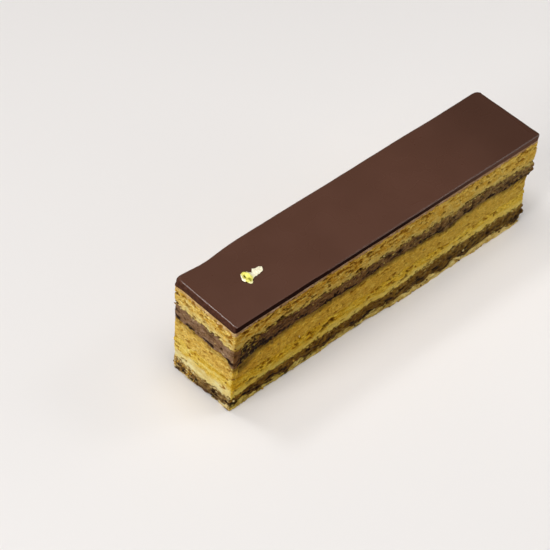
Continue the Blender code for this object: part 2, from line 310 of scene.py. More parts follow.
def closed_up(side, levels, masks):
    """A side's points and masks, with those of its floor and roof, which have two inner levels."""
    caps = [np.column_stack([CAP_INNER, np.full(len(CAP_INNER), level)]) for level in levels]
    bare = np.zeros(2 * len(CAP_INNER))
    padded = {name: np.concatenate([grid.ravel(), bare]) for name, grid in masks.items()}
    return np.vstack([side.reshape(-1, 3), *caps]), padded


# ---- the cut side of a layer


def front(x):
    """The station nearest to a place along the front face."""
    return int(np.argmin(np.hypot(RIM[:, 0] - x, RIM[:, 1] + HALF_Y)))


def near(y):
    """The station nearest to a place across the near end."""
    return int(np.argmin(np.hypot(RIM[:, 0] + HALF_X, RIM[:, 1] - y)))


def both(station):
    """A station and the one half a turn round, where the back or the far end has the same mark."""
    return (station, (station + STATIONS // 2) % STATIONS)


def marks(find, rows):
    """Every mark of a table, twice: its place becomes a station, then that station's opposite."""
    for place, *rest in rows:
        for station in both(find(place)):
            yield (station, *rest)


def by_front(x, half_width):
    """A smooth bump along the front that is 1 at x."""
    return hump(np.arange(STATIONS), front(x), half_width / STEP)


def by_back_corner(half_width):
    """A smooth bump round the near end's back corner."""
    return hump(np.hypot(RIM[:, 0] + HALF_X, RIM[:, 1] - HALF_Y), 0.0, half_width)


# How ragged each joint is where it is cut: height and length of its waves.
RAGGED = {1: (0.9, 3.2), 2: (0.45, 2.4), 3: (0.6, 3.4), 4: (0.45, 2.6), 5: (0.45, 1.8), 6: (0.42, 1.7)}
RAGGED_FINE = 0.22
# The glaze runs down a little over the cut, most at the near end and its back corner.
GLAZE_RUN, GLAZE_RUN_NEAR_END, GLAZE_RUN_BACK_CORNER = 0.2, 0.2, 0.7
THINNEST_LAYER = 0.35


def ragged_joints():
    """Each joint's height at the cut side."""
    levels = LEVELS.copy()
    noise = Noise(11)
    for joint, (height, length) in RAGGED.items():
        places = np.column_stack([RIM + 40.0 * joint, np.zeros(STATIONS)])
        levels[joint] += height * noise.layered(places, length, 3, 0.6)
        levels[joint] += RAGGED_FINE * noise.layered(places, 0.7, 2, 0.6)
    # The upper ganache is thinner by the near end's front corner.
    levels[GANACHE_UPPER] += AT_NEAR_END * hump(RIM[:, 1], -7.6, 2.2)
    levels[GLAZE] -= GLAZE_RUN + GLAZE_RUN_NEAR_END * AT_NEAR_END
    levels[GLAZE] -= GLAZE_RUN_BACK_CORNER * by_back_corner(1.0)
    for joint in range(1, GLAZE + 1):
        levels[joint] = np.maximum(levels[joint], levels[joint - 1] + THINNEST_LAYER)
    return levels


JOINTS = ragged_joints()
# How far the outlines of pits, bumps and stains are pushed about.
WARP = 0.35


class Wall:
    """The cut side of one layer as a grid, with its relief and the masks its material reads."""

    def __init__(self, index, seed):
        floor, roof = JOINTS[index], JOINTS[index + 1]
        self.index = index
        self.draw = np.random.default_rng(seed)
        rows = max(6, round(float(np.mean(roof - floor)) / STEP) + 1)
        share = np.linspace(0.0, 1.0, rows)[:, None] * np.ones(STATIONS)
        self.z = floor + (roof - floor) * share
        plan = RIM + OUTWARD * side_offset(self.z)[..., None]
        self.points = np.dstack([plan, self.z])
        self.above_floor = self.z - floor
        self.below_roof = roof - self.z
        self.relief = np.zeros_like(self.z)
        self.pit = np.zeros_like(self.z)
        self.masks = {"end": 0.0 * self.z + FACES_END, "far": 0.0 * self.z + FAR_LONG}
        warp = Noise(seed + 500)
        self.warp_along = WARP * warp.layered(self.points, 0.9, 2)
        self.warp_up = 0.6 * WARP * warp.layered(self.points + 50.0, 0.9, 2)

    def mask(self, name):
        """A mask of the side, which is empty when it is new."""
        return self.masks.setdefault(name, np.zeros_like(self.z))

    def window(self, station, z, half_along, half_up):
        """The stations round one place, and the squared distance from it in half sizes."""
        reach = int(1.6 * half_along / STEP) + 3
        steps = np.arange(-reach, reach + 1)
        columns = (int(station) + steps) % STATIONS
        along = (steps - (station - int(station))) * STEP + self.warp_along[:, columns]
        up = self.z[:, columns] - z + self.warp_up[:, columns]
        return columns, (along / half_along) ** 2 + (up / half_up) ** 2

    def dig(self, station, z, half_along, half_up, depth):
        """Sinks a round-bottomed pit."""
        columns, square = self.window(station, z, half_along, half_up)
        bowl = depth * np.sqrt(np.clip(1.0 - square, 0.0, 1.0))
        self.pit[:, columns] = np.maximum(self.pit[:, columns], bowl)

    def bump(self, station, z, half_along, half_up, height):
        """Raises a lump."""
        columns, square = self.window(station, z, half_along, half_up)
        self.relief[:, columns] += height * np.clip(1.0 - square, 0.0, 1.0)

    def stain(self, name, station, z, half_along, half_up, strength=1.0):
        """Adds a spot to a mask."""
        columns, square = self.window(station, z, half_along, half_up)
        spot = strength * smooth_step(1.6 * (1.0 - square))
        field = self.mask(name)
        field[:, columns] = np.maximum(field[:, columns], spot)

    def wash(self, name, values):
        """Adds values over the whole side to a mask, which keeps the stronger of the two."""
        self.masks[name] = np.maximum(self.mask(name), np.clip(values, 0.0, 1.0))

    def speckle(self, name, strength, density, size, seed, softness=0.3):
        """Adds ragged spots to a mask, which cover about a given share of the side."""
        spots = Noise(seed).layered(self.points, (1.5 * size, 1.5 * size, size), 3, 0.6)
        self.wash(name, strength * smooth_step(0.5 + (density - 0.5 + 0.5 * spots) / softness))

    def height_at(self, station, share):
        """The height of a place, from its share of the layer's height."""
        column = int(station) % STATIONS
        return self.z[0, column] + share * (self.z[-1, column] - self.z[0, column])

    def scatter(self, per_mm2, action, share=(0.0, 1.0)):
        """Calls action(station, z) at seeded places between two shares of the layer's height."""
        thick = float(np.mean(self.z[-1] - self.z[0]))
        count = int(per_mm2 * STATIONS * STEP * thick * (share[1] - share[0]))
        for _ in range(count):
            station = self.draw.uniform(0, STATIONS)
            action(station, self.height_at(station, self.draw.uniform(*share)))

    def surface(self):
        """The side's points with its relief and pits."""
        moved = self.points.copy()
        moved[..., :2] += OUTWARD * (self.relief - self.pit)[..., None]
        return moved


def crumb(wall, seed, lumps, pores_per_mm2, pore_size, calm):
    """Open sponge crumb in rough and calm patches: lumps, streaks of tone, pores, clinging crumbs.

    calm is from 0 to 1 and says how much of the cut is smooth, at each station or all round.
    """
    noise = Noise(seed)
    patches = noise.layered(wall.points + 70.0, (6.0, 6.0, 2.0), 2, 0.5)
    rough = 0.25 + 0.75 * smooth_step(0.75 - calm + 0.9 * patches)
    lumps = lumps * rough
    wall.relief += lumps * noise.layered(wall.points, (1.8, 1.8, 1.1), 3, 0.65)
    wall.relief += 0.7 * lumps * noise.layered(wall.points + 90.0, (0.7, 0.7, 0.5), 2, 0.6)
    tone = noise.layered(wall.points + 30.0, (2.8, 2.8, 1.1), 4, 0.8)
    wall.masks["tone"] = 0.5 + 0.6 * tone
    draw = wall.draw

    def pore(station, z):
        column = int(station) % STATIONS
        row = np.argmin(np.abs(wall.z[:, column] - z))
        if draw.uniform(0.2, 1.0) > rough[row, column]:
            return
        size = pore_size * draw.lognormal(0.0, 0.45)
        longer, flatter = draw.uniform(0.9, 1.8), draw.uniform(0.5, 0.85)
        wall.dig(station, z, size * longer, size * flatter, 1.5 * size * draw.uniform(0.6, 1.3))

    def clinging(station, z):
        size = draw.uniform(0.25, 0.6)
        wall.bump(station, z, size, size * draw.uniform(0.6, 1.0), draw.uniform(0.08, 0.25))

    wall.scatter(pores_per_mm2, pore)
    wall.scatter(0.3, clinging)


def spread(wall, seed, height, bubbles_per_mm2):
    """A spread cream or ganache: nearly smooth, with knife drag and a few burst bubbles."""
    noise = Noise(seed)
    wall.relief += height * noise.layered(wall.points, 2.2, 3, 0.5)
    wall.relief += 0.35 * height * noise.layered(wall.points + 60.0, (0.5, 0.5, 3.0), 2, 0.5)
    wall.masks["tone"] = 0.5 + 0.5 * noise.layered(wall.points + 30.0, (2.2, 2.2, 1.0), 4, 0.65)
    draw = wall.draw

    def bubble(station, z):
        size = 0.22 * draw.lognormal(0.0, 0.4)
        wall.dig(station, z, size * 1.2, size, draw.uniform(0.08, 0.3))

    wall.scatter(bubbles_per_mm2, bubble)


def dashes(wall, station, z, half_length, count, strength=1.0):
    """A cluster of short browned cracks along the layer."""
    draw = wall.draw
    for _ in range(count):
        at = station + draw.uniform(-half_length, half_length) / STEP
        up = z + draw.uniform(-0.6, 0.6)
        half, thick = draw.uniform(0.3, 1.1), draw.uniform(0.22, 0.44)
        wall.stain("brown", at, up, half, thick, strength * draw.uniform(0.7, 1.0))
        wall.dig(at, up, 0.8 * half, 0.7 * thick, draw.uniform(0.15, 0.5))


def scattered_dashes(wall, per_mm2, share, strength):
    """Such clusters all round, between two shares of the layer's height."""
    draw = wall.draw

    def cluster(station, z):
        dashes(wall, station, z, draw.uniform(0.6, 2.6), int(draw.integers(1, 5)), strength)

    wall.scatter(per_mm2, cluster, share)


def hole(wall, station, z, half_along, half_up):
    """An open pore: a pit, with painted shade over it in the browned stain's colour."""
    wall.dig(station, z, half_along, half_up, 1.1 * half_along)
    wall.stain("brown", station, z, 1.3 * half_along, 1.3 * half_up)


def crack(wall, start, end, thickness):
    """A thin browned crack from one (station, height) to another."""
    count = round(abs(end[0] - start[0]) * STEP / (1.2 * thickness))
    for k in range(count + 1):
        share = k / count
        at = start[0] + share * (end[0] - start[0])
        up = start[1] + share * (end[1] - start[1]) + 0.12 * np.sin(9.0 * share)
        wall.dig(at, up, 1.5 * thickness, 0.6 * thickness, 0.35)
        wall.stain("brown", at, up, 1.7 * thickness, 0.8 * thickness, 0.9)


# Places are crests or crevices by their height over the mean of the cells round them.
# Crevices and pits get painted shade, and crests a painted highlight.
CREVICE_REACH, CREVICE_DEPTH = 3, 0.14
PORE_SHADE_DEPTH = 0.28
FAR_HALF_SMOOTHER = 0.65


def averaged(field, reach):
    """The running mean of a grid whose columns go round the finger, over reach cells each way."""
    tall = np.pad(smoothed_round(field, reach), ((reach, reach), (0, 0)), mode="edge")
    return sum(tall[k : k + len(field)] for k in range(2 * reach + 1)) / (2 * reach + 1)


def finish_layer(wall, make_finish):
    """Makes the closed mesh of a layer from its side and the frame's joints inside the cake."""
    name = LAYERS[wall.index]
    depth = wall.relief - wall.pit
    raised = (depth - averaged(depth, CREVICE_REACH)) / CREVICE_DEPTH
    # Painted shade in pits and crevices, and a painted highlight on crests, weaker over the far half of
    # the long cuts.
    contrast = 1.0 - FAR_HALF_SMOOTHER * FAR_LONG
    wall.masks["pore"] = contrast * smooth_step(wall.pit / PORE_SHADE_DEPTH)
    wall.masks["crest_highlight"] = contrast * np.clip(raised, 0.0, 1.0)
    wall.masks["crevice_shade"] = contrast * np.clip(-raised, 0.0, 1.0)
    levels = CAP_LEVELS[wall.index : wall.index + 2]
    points, masks = closed_up(wall.surface(), levels, wall.masks)
    finish = make_finish(name, *COLOURS[name])
    piece = make_piece(name + "_cut", points, capped_faces(len(wall.z)), finish, name, masks)


# ---- materials

# Each layer's colours: deep, middling and light, and then a sponge's pale crumb.
COLOURS = {
    "sponge_base": ((0.34, 0.20, 0.04), (0.56, 0.41, 0.14), (0.76, 0.63, 0.32), (0.74, 0.62, 0.32)),
    "ganache_lower": ((0.09, 0.042, 0.010), (0.175, 0.096, 0.026), (0.29, 0.19, 0.065)),
    "sponge_middle": ((0.53, 0.32, 0.028), (0.66, 0.45, 0.075), (0.71, 0.56, 0.15), (0.71, 0.635, 0.33)),
    "buttercream_lower": ((0.48, 0.28, 0.042), (0.61, 0.39, 0.072), (0.71, 0.52, 0.14)),
    "ganache_upper": ((0.12, 0.060, 0.024), (0.200, 0.109, 0.054), (0.27, 0.168, 0.102)),
    "sponge_top": ((0.47, 0.25, 0.026), (0.61, 0.39, 0.075), (0.75, 0.57, 0.18), (0.62, 0.53, 0.22)),
    "buttercream_top": ((0.42, 0.235, 0.065), (0.50, 0.31, 0.11), (0.66, 0.48, 0.24)),
}
# What tints the long cuts, but not the ends: by the near end, and over the far half. It is partly
# the crumb's own look where the knife dragged, and partly painted shade: the long cuts darker than
# the ends, and less so over the far half.
LONG_CUT_TINTS_AND_SHADE = {
    "sponge_base": ((1.02, 0.97, 0.50), (1.28, 1.24, 0.96)),
    "ganache_lower": ((0.98, 0.80, 0.26), (1.02, 0.94, 0.45)),
    "sponge_middle": ((0.99, 0.86, 0.34), (1.07, 1.04, 0.70)),
    "buttercream_lower": ((0.96, 0.85, 0.38), (0.93, 0.91, 0.62)),
    "ganache_upper": ((0.80, 0.63, 0.33), (1.04, 1.02, 0.62)),
    "sponge_top": ((0.90, 0.78, 0.45), (1.02, 1.00, 0.80)),
    "buttercream_top": ((0.78, 0.72, 0.90), (0.76, 0.71, 0.90)),
}
WHITE = (1.0, 1.0, 1.0)
# A painted highlight for crests and painted shade for crevices.
CREST_HIGHLIGHT = (1.10, 1.12, 1.18)
CREVICE_SHADE = (0.50, 0.38, 0.16)


class Finish:
    """A procedural material, built node by node."""

    def __init__(self, name):
        self.material = bpy.data.materials.new(name)
        self.material.use_nodes = True
        self.tree = self.material.node_tree
        self.shader = self.tree.nodes["Principled BSDF"]
        self.place = self.add("ShaderNodeTexCoord").outputs["Object"]

    def add(self, kind, inputs=None, **settings):
        node = self.tree.nodes.new(kind)
        for key, value in settings.items():
            setattr(node, key, value)
        for socket, value in (inputs or {}).items():
            self.feed(node.inputs[socket], value)
        return node

    def feed(self, socket, value):
        """Links an output to a socket, or sets the socket's value."""
        if isinstance(value, bpy.types.NodeSocket):
            self.tree.links.new(value, socket)
        elif isinstance(value, tuple) and len(value) == 3 and socket.type == "RGBA":
            socket.default_value = (*value, 1.0)
        else:
            socket.default_value = value

    def mask(self, name):
        """One of the masks that the mesh carries."""
        return self.add("ShaderNodeAttribute", attribute_name=name).outputs["Fac"]

    def noise(self, size, detail=3.0, stretch=(1.0, 1.0, 1.0)):
        """Noise from 0 to 1, of lumps about size millimetres wide, stretched along its axes."""
        mapping = {"Vector": self.place, "Scale": tuple(1.0 / s for s in stretch)}
        place = self.add("ShaderNodeMapping", mapping).outputs["Vector"]
        inputs = {"Vector": place, "Scale": 1.0 / (size * METRES_PER_MM), "Detail": detail}
        return self.add("ShaderNodeTexNoise", inputs).outputs["Fac"]

    def ramp(self, value, low, high, least=0.0, most=1.0):
        """value from low to high becomes least to most, smoothly. low may be above high."""
        inputs = {"Value": value, "From Min": low, "From Max": high, "To Min": least, "To Max": most}
        return self.add("ShaderNodeMapRange", inputs, interpolation_type="SMOOTHSTEP").outputs["Result"]

    def mix(self, factor, first, second, blend="MIX"):
        """first where factor is 0, and second where it is 1."""
        node = self.add("ShaderNodeMix", data_type="RGBA", blend_type=blend)
        self.feed(node.inputs[0], factor)
        self.feed(node.inputs[6], first)
        self.feed(node.inputs[7], second)
        return node.outputs[2]

    def math(self, operation, first, second):
        return self.add("ShaderNodeMath", {0: first, 1: second}, operation=operation).outputs[0]

    def times(self, first, second):
        return self.math("MULTIPLY", first, second)

    def stained(self, colour, mask, stain, strength=1.0):
        """The colour under a stain where a mask has it."""
        return self.mix(self.times(self.mask(mask), strength), colour, stain)

    def toned(self, deep, mid, light, flecked=0.6):
        """Three colours by the tone mask, then blotches and flecks of them, speckled finely.

        flecked is how strong the blotches and flecks are. Far off it all comes nearer to mid.
        """
        value = self.mask("tone")
        colour = self.mix(self.ramp(value, 0.05, 0.5), deep, mid)
        colour = self.mix(self.ramp(value, 0.5, 0.95), colour, light)
        blotch = self.noise(1.9, 4.0, (1.5, 1.5, 0.8))
        colour = self.mix(self.ramp(blotch, 0.50, 0.68, 0.0, flecked), colour, deep)
        fleck = self.noise(1.25, 4.0, (1.3, 1.3, 0.8))
        colour = self.mix(self.ramp(fleck, 0.56, 0.70, 0.0, flecked), colour, light)
        colour = self.stained(colour, "far", mid, 0.35)
        speckle = self.ramp(self.noise(0.33), 0.3, 0.7, 0.80, 1.14)
        return self.mix(1.0, colour, speckle, "MULTIPLY")

    def painted_hollow_shade(self, colour, crevice_shade_colour, strength):
        """Painted shade that deepens the colour in crevices, and a painted highlight a little lighter on
        crests.
        """
        lit = self.mix(self.mask("crest_highlight"), WHITE, CREST_HIGHLIGHT)
        tint = self.mix(self.times(self.mask("crevice_shade"), strength), lit, crevice_shade_colour)
        return self.mix(1.0, colour, tint, "MULTIPLY")

    def long_cut_tint_and_shade(self, colour, layer):
        """The colour with the long cuts tinted as they are in one layer: partly their own look, partly
        painted shade.
        """
        tint = self.mix(self.mask("far"), *LONG_CUT_TINTS_AND_SHADE[layer])
        return self.mix(1.0, colour, self.mix(self.mask("end"), tint, WHITE), "MULTIPLY")

    def relief(self, size, detail, height):
        """A normal with the relief of a noise, some millimetres high."""
        inputs = {"Height": self.noise(size, detail), "Distance": height * METRES_PER_MM}
        return self.add("ShaderNodeBump", inputs).outputs["Normal"]

    def surfaced(self, colour, roughness, relief=None, specular=0.5, metallic=0.0):
        """The finished material. relief, where it has one, is a noise's size, detail and height."""
        inputs = {"Base Color": colour, "Roughness": roughness}
        inputs |= {"Specular IOR Level": specular, "Metallic": metallic}
        if relief:
            inputs["Normal"] = self.relief(*relief)
        for socket, value in inputs.items():
            self.feed(self.shader.inputs[socket], value)
        return self.material


CHOCOLATE = (0.080, 0.038, 0.024)
BROWNED = (0.30, 0.125, 0.012)
# Painted shade in the pits of sponge and buttercream.
PORE_SHADE = (0.30, 0.14, 0.012)
NEAR_BLACK = (0.015, 0.005, 0.001)
CRUMB_DARK, CRUMB_LIGHT = (0.40, 0.25, 0.07), (0.64, 0.52, 0.24)
# Painted shade for the ganache's crevices.
GANACHE_CREVICE_SHADE = (0.45, 0.38, 0.30)
END_MOTTLE = (0.1, 0.1, 0.1)
GLAZE_DARK, GLAZE_LIGHT = (0.096, 0.041, 0.0255), (0.104, 0.045, 0.0285)
GLAZE_SPECK = (0.14, 0.075, 0.055)
# The glaze's cut edge, painted dark as shade: on the ends, and along the long faces from a
# near-black painted shade by the near end to a brown painted sheen by the far one.
END_CUT_SHADE_DARK, END_CUT_SHADE_LIGHT = (0.042, 0.015, 0.008), (0.082, 0.033, 0.021)
LONG_CUT_NEAR_SHADE, LONG_CUT_FAR_SHEEN = (0.016, 0.003, 0.001), (0.115, 0.055, 0.036)
# Gold leaf's yellow, its painted cream highlight and its painted shade.
GOLD_YELLOW, GOLD_CREAM_HIGHLIGHT, GOLD_SHADED = (0.94, 0.88, 0.17), (1.0, 0.94, 0.68), (0.34, 0.31, 0.02)
BROWN_CRUMB, GOLDEN_CRUMB, CREAM_CRUMB = (0.16, 0.075, 0.02), (0.52, 0.30, 0.05), (0.62, 0.49, 0.20)


def smeared(finish, colour):
    """The colour under smears of chocolate, some brown and some nearly black; on the lower buttercream
    the same mask also paints shade under the ganache.
    """
    chocolate = finish.mix(finish.ramp(finish.noise(2.4), 0.42, 0.56), CHOCOLATE, NEAR_BLACK)
    return finish.stained(colour, "smear_and_shade", chocolate)


def sponge_finish(name, deep, mid, light, pale):
    """Almond sponge: golden crumb, browned in streaks, and pale where its crumb is closer."""
    finish = Finish(name)
    colour = finish.toned(deep, mid, light)
    uneven = finish.ramp(finish.noise(1.8, stretch=(1.6, 1.6, 0.8)), 0.35, 0.62, 0.95, 0.45)
    colour = finish.stained(colour, "pale", pale, uneven)
    # Painted shade in crevices and pits, and a painted highlight on crests.
    colour = finish.painted_hollow_shade(colour, CREVICE_SHADE, 0.85)
    colour = finish.stained(colour, "pore", PORE_SHADE, 0.6)
    patchy = finish.ramp(finish.noise(0.5), 0.20, 0.45, 0.3, 1.0)
    colour = finish.stained(colour, "brown", BROWNED, patchy)
    # The long cuts tinted, partly with painted shade.
    colour = finish.long_cut_tint_and_shade(smeared(finish, colour), name)
    return finish.surfaced(colour, 0.95, (0.28, 5.0, 0.12), specular=0.03)


def buttercream_finish(name, deep, mid, light):
    """Coffee buttercream: soft tan, with chocolate dragged into it by the knife."""
    finish = Finish(name)
    colour = finish.toned(deep, mid, light)
    # Painted shade in crevices and pits, and a painted highlight on crests.
    colour = finish.painted_hollow_shade(colour, CREVICE_SHADE, 0.7)
    colour = finish.stained(colour, "pore", PORE_SHADE, 0.6)
    colour = finish.stained(colour, "brown", BROWNED)
    # The long cuts tinted, partly with painted shade.
    colour = finish.long_cut_tint_and_shade(smeared(finish, colour), name)
    return finish.surfaced(colour, 0.8, (0.5, 4.0, 0.08), specular=0.06)


def ganache_finish(name, deep, mid, light):
    """Dark ganache: brown, mottled on the long cuts, nearly black in streaks, with crumb on it."""
    finish = Finish(name)
    colour = finish.toned(deep, mid, light, 0.7)
    # Painted shade in crevices, and a painted highlight on crests.
    colour = finish.painted_hollow_shade(colour, GANACHE_CREVICE_SHADE, 0.8)
    mottle = finish.ramp(finish.noise(0.8, 4.0, (1.6, 1.6, 0.8)), 0.55, 0.70, 0.0, 0.6)
    mottle = finish.times(mottle, finish.mix(finish.mask("end"), WHITE, END_MOTTLE))
    colour = finish.mix(mottle, colour, NEAR_BLACK)
    # Painted shade: pits nearly black.
    colour = finish.stained(colour, "pore", NEAR_BLACK, 0.7)
    colour = finish.stained(colour, "black", NEAR_BLACK)
    # The long cuts tinted, partly with painted shade, and the crumb on them likewise.
    colour = finish.long_cut_tint_and_shade(colour, name)
    crumb_tone = finish.mix(finish.ramp(finish.noise(1.3, 1.0), 0.45, 0.60), CRUMB_DARK, CRUMB_LIGHT)
    colour = finish.stained(colour, "crumb", finish.long_cut_tint_and_shade(crumb_tone, "sponge_middle"))
    return finish.surfaced(colour, 0.6, (0.4, 5.0, 0.12), specular=0.03)


def glaze_finish():
    """Poured dark chocolate glaze: satin, with a few pinprick specks, and painted shade that darkens it
    towards the far end.
    """
    finish = Finish("glaze")
    colour = finish.mix(finish.ramp(finish.noise(16.0, 2.0), 0.35, 0.65), GLAZE_DARK, GLAZE_LIGHT)
    # Painted shade: the glaze darker towards the far end.
    far_end_shade = finish.ramp(finish.mask("along"), 0.62, 1.0, 1.0, 0.70)
    colour = finish.mix(1.0, colour, far_end_shade, "MULTIPLY")
    colour = finish.mix(finish.ramp(finish.noise(0.55, 1.0), 0.80, 0.86), colour, GLAZE_SPECK)
    roughness = finish.ramp(finish.noise(9.0, 2.0), 0.25, 0.75, 0.26, 0.29)
    roughness = finish.math("SUBTRACT", roughness, finish.times(finish.mask("rim"), 0.08))
    return finish.surfaced(colour, roughness, (2.2, 3.0, 0.02))


def glaze_cut_shade_finish():
    """The cut edge of the glaze: matt and painted dark as shade, near-black by the near end of the long
    faces, with a painted sheen towards their far end.
    """
    finish = Finish("glaze_cut")
    end_cut_shade = finish.mix(finish.ramp(finish.noise(0.8), 0.3, 0.7), END_CUT_SHADE_DARK, END_CUT_SHADE_LIGHT)
    long_cut_shade_and_sheen = finish.mix(finish.ramp(finish.mask("along"), 0.5, 0.92), LONG_CUT_NEAR_SHADE, LONG_CUT_FAR_SHEEN)
    colour = finish.mix(finish.mask("end"), long_cut_shade_and_sheen, end_cut_shade)
    return finish.surfaced(colour, 0.85, (0.6, 4.0, 0.05), specular=0.03)


def gold_finish():
    """Gold leaf: crumpled, with a painted cream highlight in places and painted shade in its folds."""
    finish = Finish("gold")
    colour = finish.mix(finish.mask("cream"), GOLD_YELLOW, GOLD_CREAM_HIGHLIGHT)
    colour = finish.stained(colour, "fold_shade", GOLD_SHADED)
    return finish.surfaced(colour, 0.34, (0.35, 4.0, 0.06), metallic=0.05)


def crumbs_finish():
    """Loose crumbs: brown, golden or cream."""
    finish = Finish("crumbs")
    kind = finish.mask("kind")
    colour = finish.mix(finish.ramp(kind, 0.25, 0.45), BROWN_CRUMB, GOLDEN_CRUMB)
    colour = finish.mix(finish.ramp(kind, 0.65, 0.8), colour, CREAM_CRUMB)
    return finish.surfaced(colour, 0.9, (0.25, 4.0, 0.08), specular=0.1)


# ---- the layers


def pale_band(wall, height, softness, seed, strength=1.0):
    """A paler band along the foot of a sponge, with an uneven upper edge."""
    edge = Noise(seed).layered(wall.points, (3.0, 3.0, 1.0), 3, 0.6)
    wall.wash("pale", strength * smooth_step((height - wall.above_floor + 0.8 * edge) / softness))


def build_base():
    """The bottom sponge: crushed, with chocolate squeezed down over it."""
    wall = Wall(SPONGE_BASE, 101)
    crumb(wall, 101, lumps=0.20, pores_per_mm2=0.5, pore_size=0.28, calm=0.25 * FACES_LONG)
    wall.relief += 0.25 * Noise(151).layered(wall.points, (3.5, 3.5, 2.0), 2)
    wall.wash("pale", 0.5 * smooth_step(0.5 + Noise(153).layered(wall.points, (4.0, 4.0, 1.5), 2)))
    scattered_dashes(wall, 0.05, (0.2, 0.9), 0.7)
    dragged_down = 0.25 + 0.5 * np.exp(-wall.below_roof / 0.9)
    dragged_down = dragged_down * (FACES_END + FACES_LONG * (0.78 - 0.56 * FAR_HALF))
    wall.speckle("smear_and_shade", 0.95, dragged_down, 1.8, 152)
    finish_layer(wall, sponge_finish)


def build_middle():
    """The middle sponge, with a pale foot and a row of browned cracks."""
    wall = Wall(SPONGE_MIDDLE, 102)
    lumps = 0.16 - 0.07 * FACES_END
    crumb(wall, 102, lumps, pores_per_mm2=0.5, pore_size=0.31, calm=0.15 + 0.45 * FACES_END)
    pale_band(wall, 3.1 + 1.2 * FACES_END, 2.2, 154, 1.0 - 0.55 * FAR_LONG)
    wall.relief *= 1.0 - 0.5 * wall.mask("pale")
    scattered_dashes(wall, 0.05, (0.35, 1.0), 0.8)
    at_foot = np.exp(-wall.above_floor / (0.3 + 0.15 * FAR_HALF))
    wall.speckle("smear_and_shade", 0.8, 0.75 * at_foot, 1.4, 158)
    for station, z in marks(front, MIDDLE_DASHES):
        dashes(wall, station, z, 2.0, 6)
    for station in both(front(-39.8)):
        crack(wall, (station - 3.3 / STEP, 11.5), (station + 3.3 / STEP, 11.9), 0.34)
    finish_layer(wall, sponge_finish)


def build_top():
    """The top sponge, browned under the buttercream and pale at its foot."""
    wall = Wall(SPONGE_TOP, 103)
    crumb(wall, 103, lumps=0.17, pores_per_mm2=0.6, pore_size=0.33, calm=0.2)
    pale_band(wall, 2.7, 1.8, 155, 0.62)
    wall.relief *= 1.0 - 0.5 * wall.mask("pale")
    wall.speckle("pale", 0.95, 0.58 * np.exp(-wall.above_floor / 2.6), 1.5, 161, 0.4)
    scattered_dashes(wall, 0.06, (0.5, 0.95), 0.9)
    wall.relief += GLAZE_BACK_CORNER_OUT * by_back_corner(2.0)
    reach = 0.7 - 0.4 * FACES_END
    wall.speckle("smear_and_shade", 0.85, 0.75 * np.exp(-wall.above_floor / reach), 1.0, 159)
    wall.wash("smear_and_shade", 0.5 * FAR_LONG * np.exp(-wall.above_floor / 0.6))
    for station, half, count in marks(front, TOP_FRONT_DASHES):
        dashes(wall, station, 28.3, half, count)
    for station, z, count in marks(near, TOP_END_DASHES):
        dashes(wall, station, z, 1.0, count)
    for station, z, size in marks(front, TOP_HOLES):
        hole(wall, station, z, size, 0.5 * size)
    finish_layer(wall, sponge_finish)


def build_lower_cream():
    """The lower buttercream, with chocolate dragged down into its top and painted shade under the
    ganache above it.
    """
    wall = Wall(BUTTERCREAM_LOWER, 111)
    spread(wall, 111, height=0.12, bubbles_per_mm2=0.45)
    wall.relief += 0.12 * Noise(156).layered(wall.points, (0.9, 0.9, 0.6), 2)
    # Chocolate dragged down into the top, with painted shade under the ganache above: a soft darkening
    # from the top, stronger on the long cuts and reaching further down by the near front corner.
    edge = Noise(157).layered(wall.points, (3.0, 3.0, 1.4), 3, 0.6)
    corner = by_front(4.0 - HALF_X, 4.0)
    reach = 2.4 - 0.5 * FAR_HALF + 0.5 * edge + 2.4 * corner
    wall.wash("smear_and_shade", (0.58 - 0.26 * FACES_END) * smooth_step((reach - wall.below_roof) / 1.6))
    near_top = np.exp(-np.maximum(wall.below_roof - 2.0 * corner, 0.0) / 1.1)
    wall.speckle("smear_and_shade", 0.75, (0.80 - 0.30 * FACES_END) * near_top, 1.3, 160, 0.45)
    browned = 0.6 * np.exp(-wall.below_roof / 0.4)
    wall.speckle("brown", 0.7 * AT_NEAR_END, browned, 1.2, 162)
    scattered_dashes(wall, 0.035, (0.05, 0.95), 0.7)
    wall.relief -= 0.5 * by_front(HALF_X, 1.6)
    for station in both(front(3.0)):
        hole(wall, station, 12.9, 0.6, 0.5)
    for station in both(near(-2.5)):
        hole(wall, station, 16.2, 0.5, 0.4)
    finish_layer(wall, buttercream_finish)


def build_top_cream():
    """The thin upper buttercream, with a row of open pores."""
    wall = Wall(BUTTERCREAM_TOP, 112)
    spread(wall, 112, height=0.06, bubbles_per_mm2=0.1)
    wall.relief += GLAZE_BACK_CORNER_OUT * by_back_corner(2.0)
    for x in (-47.0, -44.0, -41.0, -37.3, -33.0, 0.7, 14.5):
        for station in both(front(x)):
            hole(wall, station, wall.height_at(station, 0.25), 0.5, 0.28)
    for y in (-5.5, -3.5, 0.5, 4.0):
        for station in both(near(y)):
            hole(wall, station, wall.height_at(station, 0.2), 0.45, 0.28)
    finish_layer(wall, buttercream_finish)


def crumbed(wall):
    """How much of a ganache crumb covers: its upper edge, and the lower one's near end by the back."""
    density = 0.46 * np.exp(-wall.below_roof / (0.5 + 0.1 * FAR_HALF))
    if wall.index == GANACHE_LOWER:
        by_back = smooth_step((RIM[:, 1] + 2.0) / 6.0)
        density = density + (0.10 + 0.28 * by_back) * AT_NEAR_END
    return density


